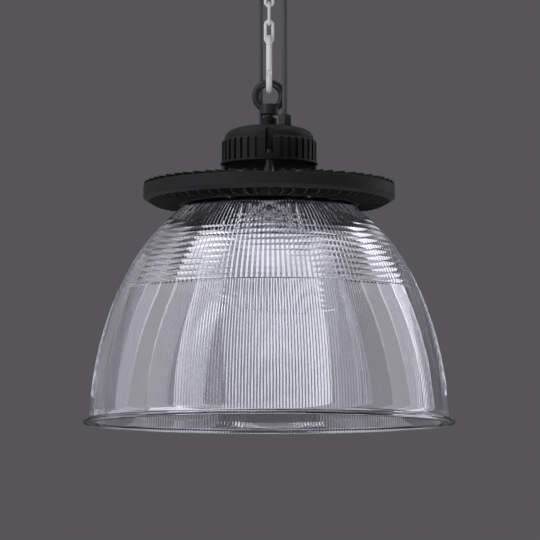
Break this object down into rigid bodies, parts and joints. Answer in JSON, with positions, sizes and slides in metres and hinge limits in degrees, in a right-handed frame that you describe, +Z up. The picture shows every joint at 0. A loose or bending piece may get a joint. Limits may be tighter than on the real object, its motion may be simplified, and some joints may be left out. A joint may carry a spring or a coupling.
{
  "type": "high bay light",
  "caption": "Round finned high bay light with a clear prismatic bell reflector, hung by an eye bolt, snap hook and chain from a ceiling canopy, with two taut cables.",
  "frame": {"origin": "centre of the canopy plate's face on the ceiling", "axes": "+Z up towards the ceiling, along the light's axis; +X to the right with the snap hook's gate facing the viewer, who stands on -Y"},
  "size_m": [0.4853, 0.4854, 0.6283],
  "materials": {
    "zinc_plate": "zinc-plated pressed steel",
    "black_canopy": "satin black powder coat",
    "zinc_fastener": "zinc-plated",
    "zinc_steel": "zinc-plated wire",
    "chain_steel": "bright zinc-plated welded chain",
    "hook_steel": "bright zinc-plated bent bar",
    "black_eye_bolt": "black coated forging",
    "black_casting": "fine-textured black powder coat on die-cast aluminium",
    "grey_silicone": "matt silicone",
    "black_pillar": "black anodised",
    "black_screw": "black oxide",
    "lead_insulation": "wire insulation",
    "circuit_board": "solder mask",
    "brass": "turned",
    "transformer_yellow": "ferrite core and taped winding",
    "capacitor_sleeve": "shrink sleeve",
    "choke_winding": "enamelled wire",
    "terminal_green": "moulded nylon",
    "black_nylon": "moulded nylon",
    "black_rubber": "matt rubber",
    "white_nylon": "moulded nylon",
    "cable_jacket": "grey-black cable jacket",
    "white_board": "white solder mask on aluminium",
    "led_phosphor": "phosphor in silicone",
    "clear_lens": "clear polycarbonate",
    "prismatic_polycarbonate": "clear prismatic polycarbonate with a faint lilac tint"
  },
  "bodies": {
    "luminaire": {"ceiling_plate": "zinc_plate", "ceiling_canopy": "black_canopy", "canopy_nut": "zinc_fastener", "canopy_eye": "zinc_steel", "upper_chain_link": "chain_steel", "middle_chain_link": "chain_steel", "lower_chain_link": "chain_steel", "snap_hook": "hook_steel", "gate_pin": "hook_steel", "eye_bolt": "black_eye_bolt", "eye_bolt_spacer": "black_eye_bolt", "eye_bolt_washer": "zinc_fastener", "eye_bolt_nut": "zinc_fastener", "driver_housing": "black_casting", "housing_gasket": "grey_silicone", "housing_base_plate": "black_casting", "housing_pillars": "black_pillar", "housing_screws": "black_screw", "wire_nipple": "zinc_fastener", "nipple_nut": "zinc_fastener", "led_leads": "lead_insulation", "driver_board": "circuit_board", "driver_standoffs": "brass", "driver_screws": "zinc_fastener", "driver_transformer": "transformer_yellow", "driver_capacitors": "capacitor_sleeve", "driver_choke": "choke_winding", "terminal_block": "terminal_green", "mains_gland_body": "black_nylon", "mains_gland_cap": "black_nylon", "mains_gland_seal": "black_rubber", "mains_gland_locknut": "black_nylon", "control_grommet": "black_rubber", "mains_canopy_grommet": "black_rubber", "control_canopy_grommet": "black_rubber", "mains_connector": "white_nylon", "control_connector": "white_nylon", "mains_cable": "cable_jacket", "control_cable": "cable_jacket", "heat_sink": "black_casting", "thermal_pad": "grey_silicone", "led_board": "white_board", "led_chips": "led_phosphor", "led_board_screws": "zinc_fastener", "lens_plate": "clear_lens", "lens_gasket": "grey_silicone", "lens_ring": "black_casting", "lens_ring_screws": "zinc_fastener", "reflector": "prismatic_polycarbonate", "reflector_clamp_ring": "zinc_plate", "reflector_screws": "zinc_fastener"},
    "gate": {"snap_hook_gate": "hook_steel", "gate_spring": "zinc_fastener"}
  },
  "joints": [
    {"name": "gate_hinge", "type": "hinge", "parent": "luminaire", "child": "gate", "pos_m": [0, -0.016, -0.1688], "axis": [-1, 0, 0], "range_deg": [0, 28], "stiffness_Nm_per_rad": 0.05, "springref_deg": -17.19}
  ]
}
